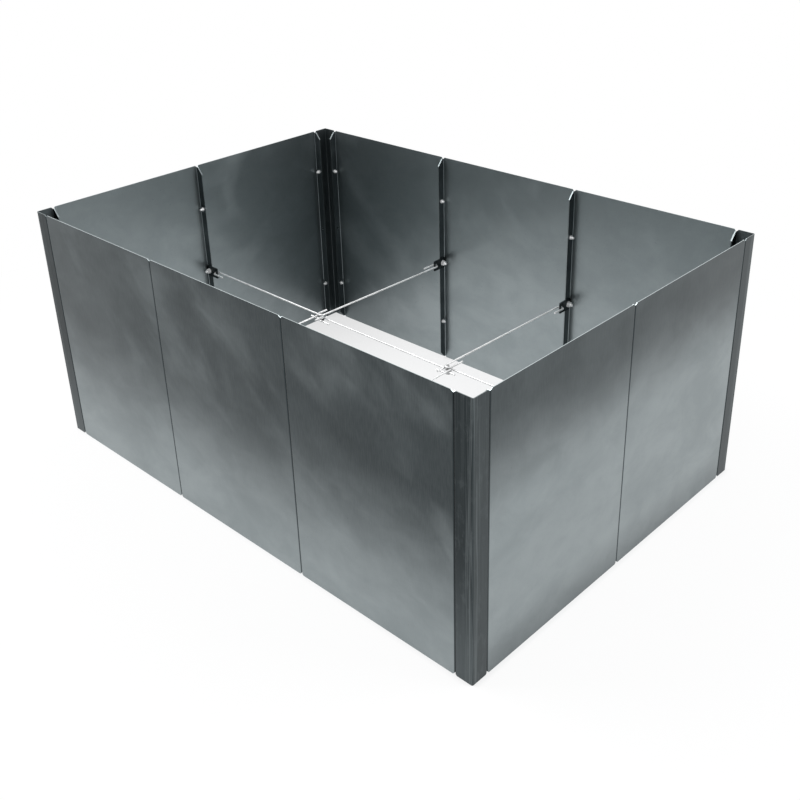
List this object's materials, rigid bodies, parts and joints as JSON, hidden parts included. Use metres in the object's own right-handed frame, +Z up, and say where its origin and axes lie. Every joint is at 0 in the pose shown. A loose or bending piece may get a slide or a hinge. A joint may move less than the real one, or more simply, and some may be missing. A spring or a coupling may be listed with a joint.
{
  "type": "raised garden bed",
  "caption": "Rectangular open raised garden bed of flanged sheet-steel wall panels and corner posts, bolted together and braced inside by hooked tie rods.",
  "frame": {"origin": "bottom centre: middle of the footprint, on the ground", "axes": "+X along the long walls to the right, +Y from the front long wall to the rear one, +Z up"},
  "size_m": [1.92, 1.32, 0.85],
  "materials": {
    "wall_sheet": "mill finish, cloudy blue-grey",
    "post_sheet": "mill finish, darker, faint upright streaks",
    "bracket_plate": "dark, satin",
    "tie_wire": "bright drawn wire",
    "tie_pin": "dull zinc",
    "zinc_fastener": "bright zinc"
  },
  "bodies": {
    "root": {"front_panel_left": "wall_sheet", "front_panel_middle": "wall_sheet", "front_panel_right": "wall_sheet", "left_panel_front": "wall_sheet", "left_panel_rear": "wall_sheet", "rear_panel_left": "wall_sheet", "rear_panel_middle": "wall_sheet", "rear_panel_right": "wall_sheet", "right_panel_front": "wall_sheet", "right_panel_rear": "wall_sheet", "corner_post_front_left": "post_sheet", "corner_post_front_right": "post_sheet", "corner_post_rear_left": "post_sheet", "corner_post_rear_right": "post_sheet", "tie_bracket_front_left": "bracket_plate", "tie_bracket_front_right": "bracket_plate", "tie_bracket_left": "bracket_plate", "tie_bracket_rear_left": "bracket_plate", "tie_bracket_rear_right": "bracket_plate", "tie_bracket_right": "bracket_plate", "tie_rod_front_left": "tie_wire", "tie_rod_front_right": "tie_wire", "tie_rod_left": "tie_wire", "tie_rod_middle": "tie_wire", "tie_rod_rear_left": "tie_wire", "tie_rod_rear_right": "tie_wire", "tie_rod_right": "tie_wire", "tie_pin_left": "tie_pin", "tie_pin_right": "tie_pin", "flange_bolts": "zinc_fastener", "flange_nuts": "zinc_fastener", "tie_bolts": "zinc_fastener", "tie_nuts": "zinc_fastener", "tie_washers": "zinc_fastener"}
  },
  "joints": []
}
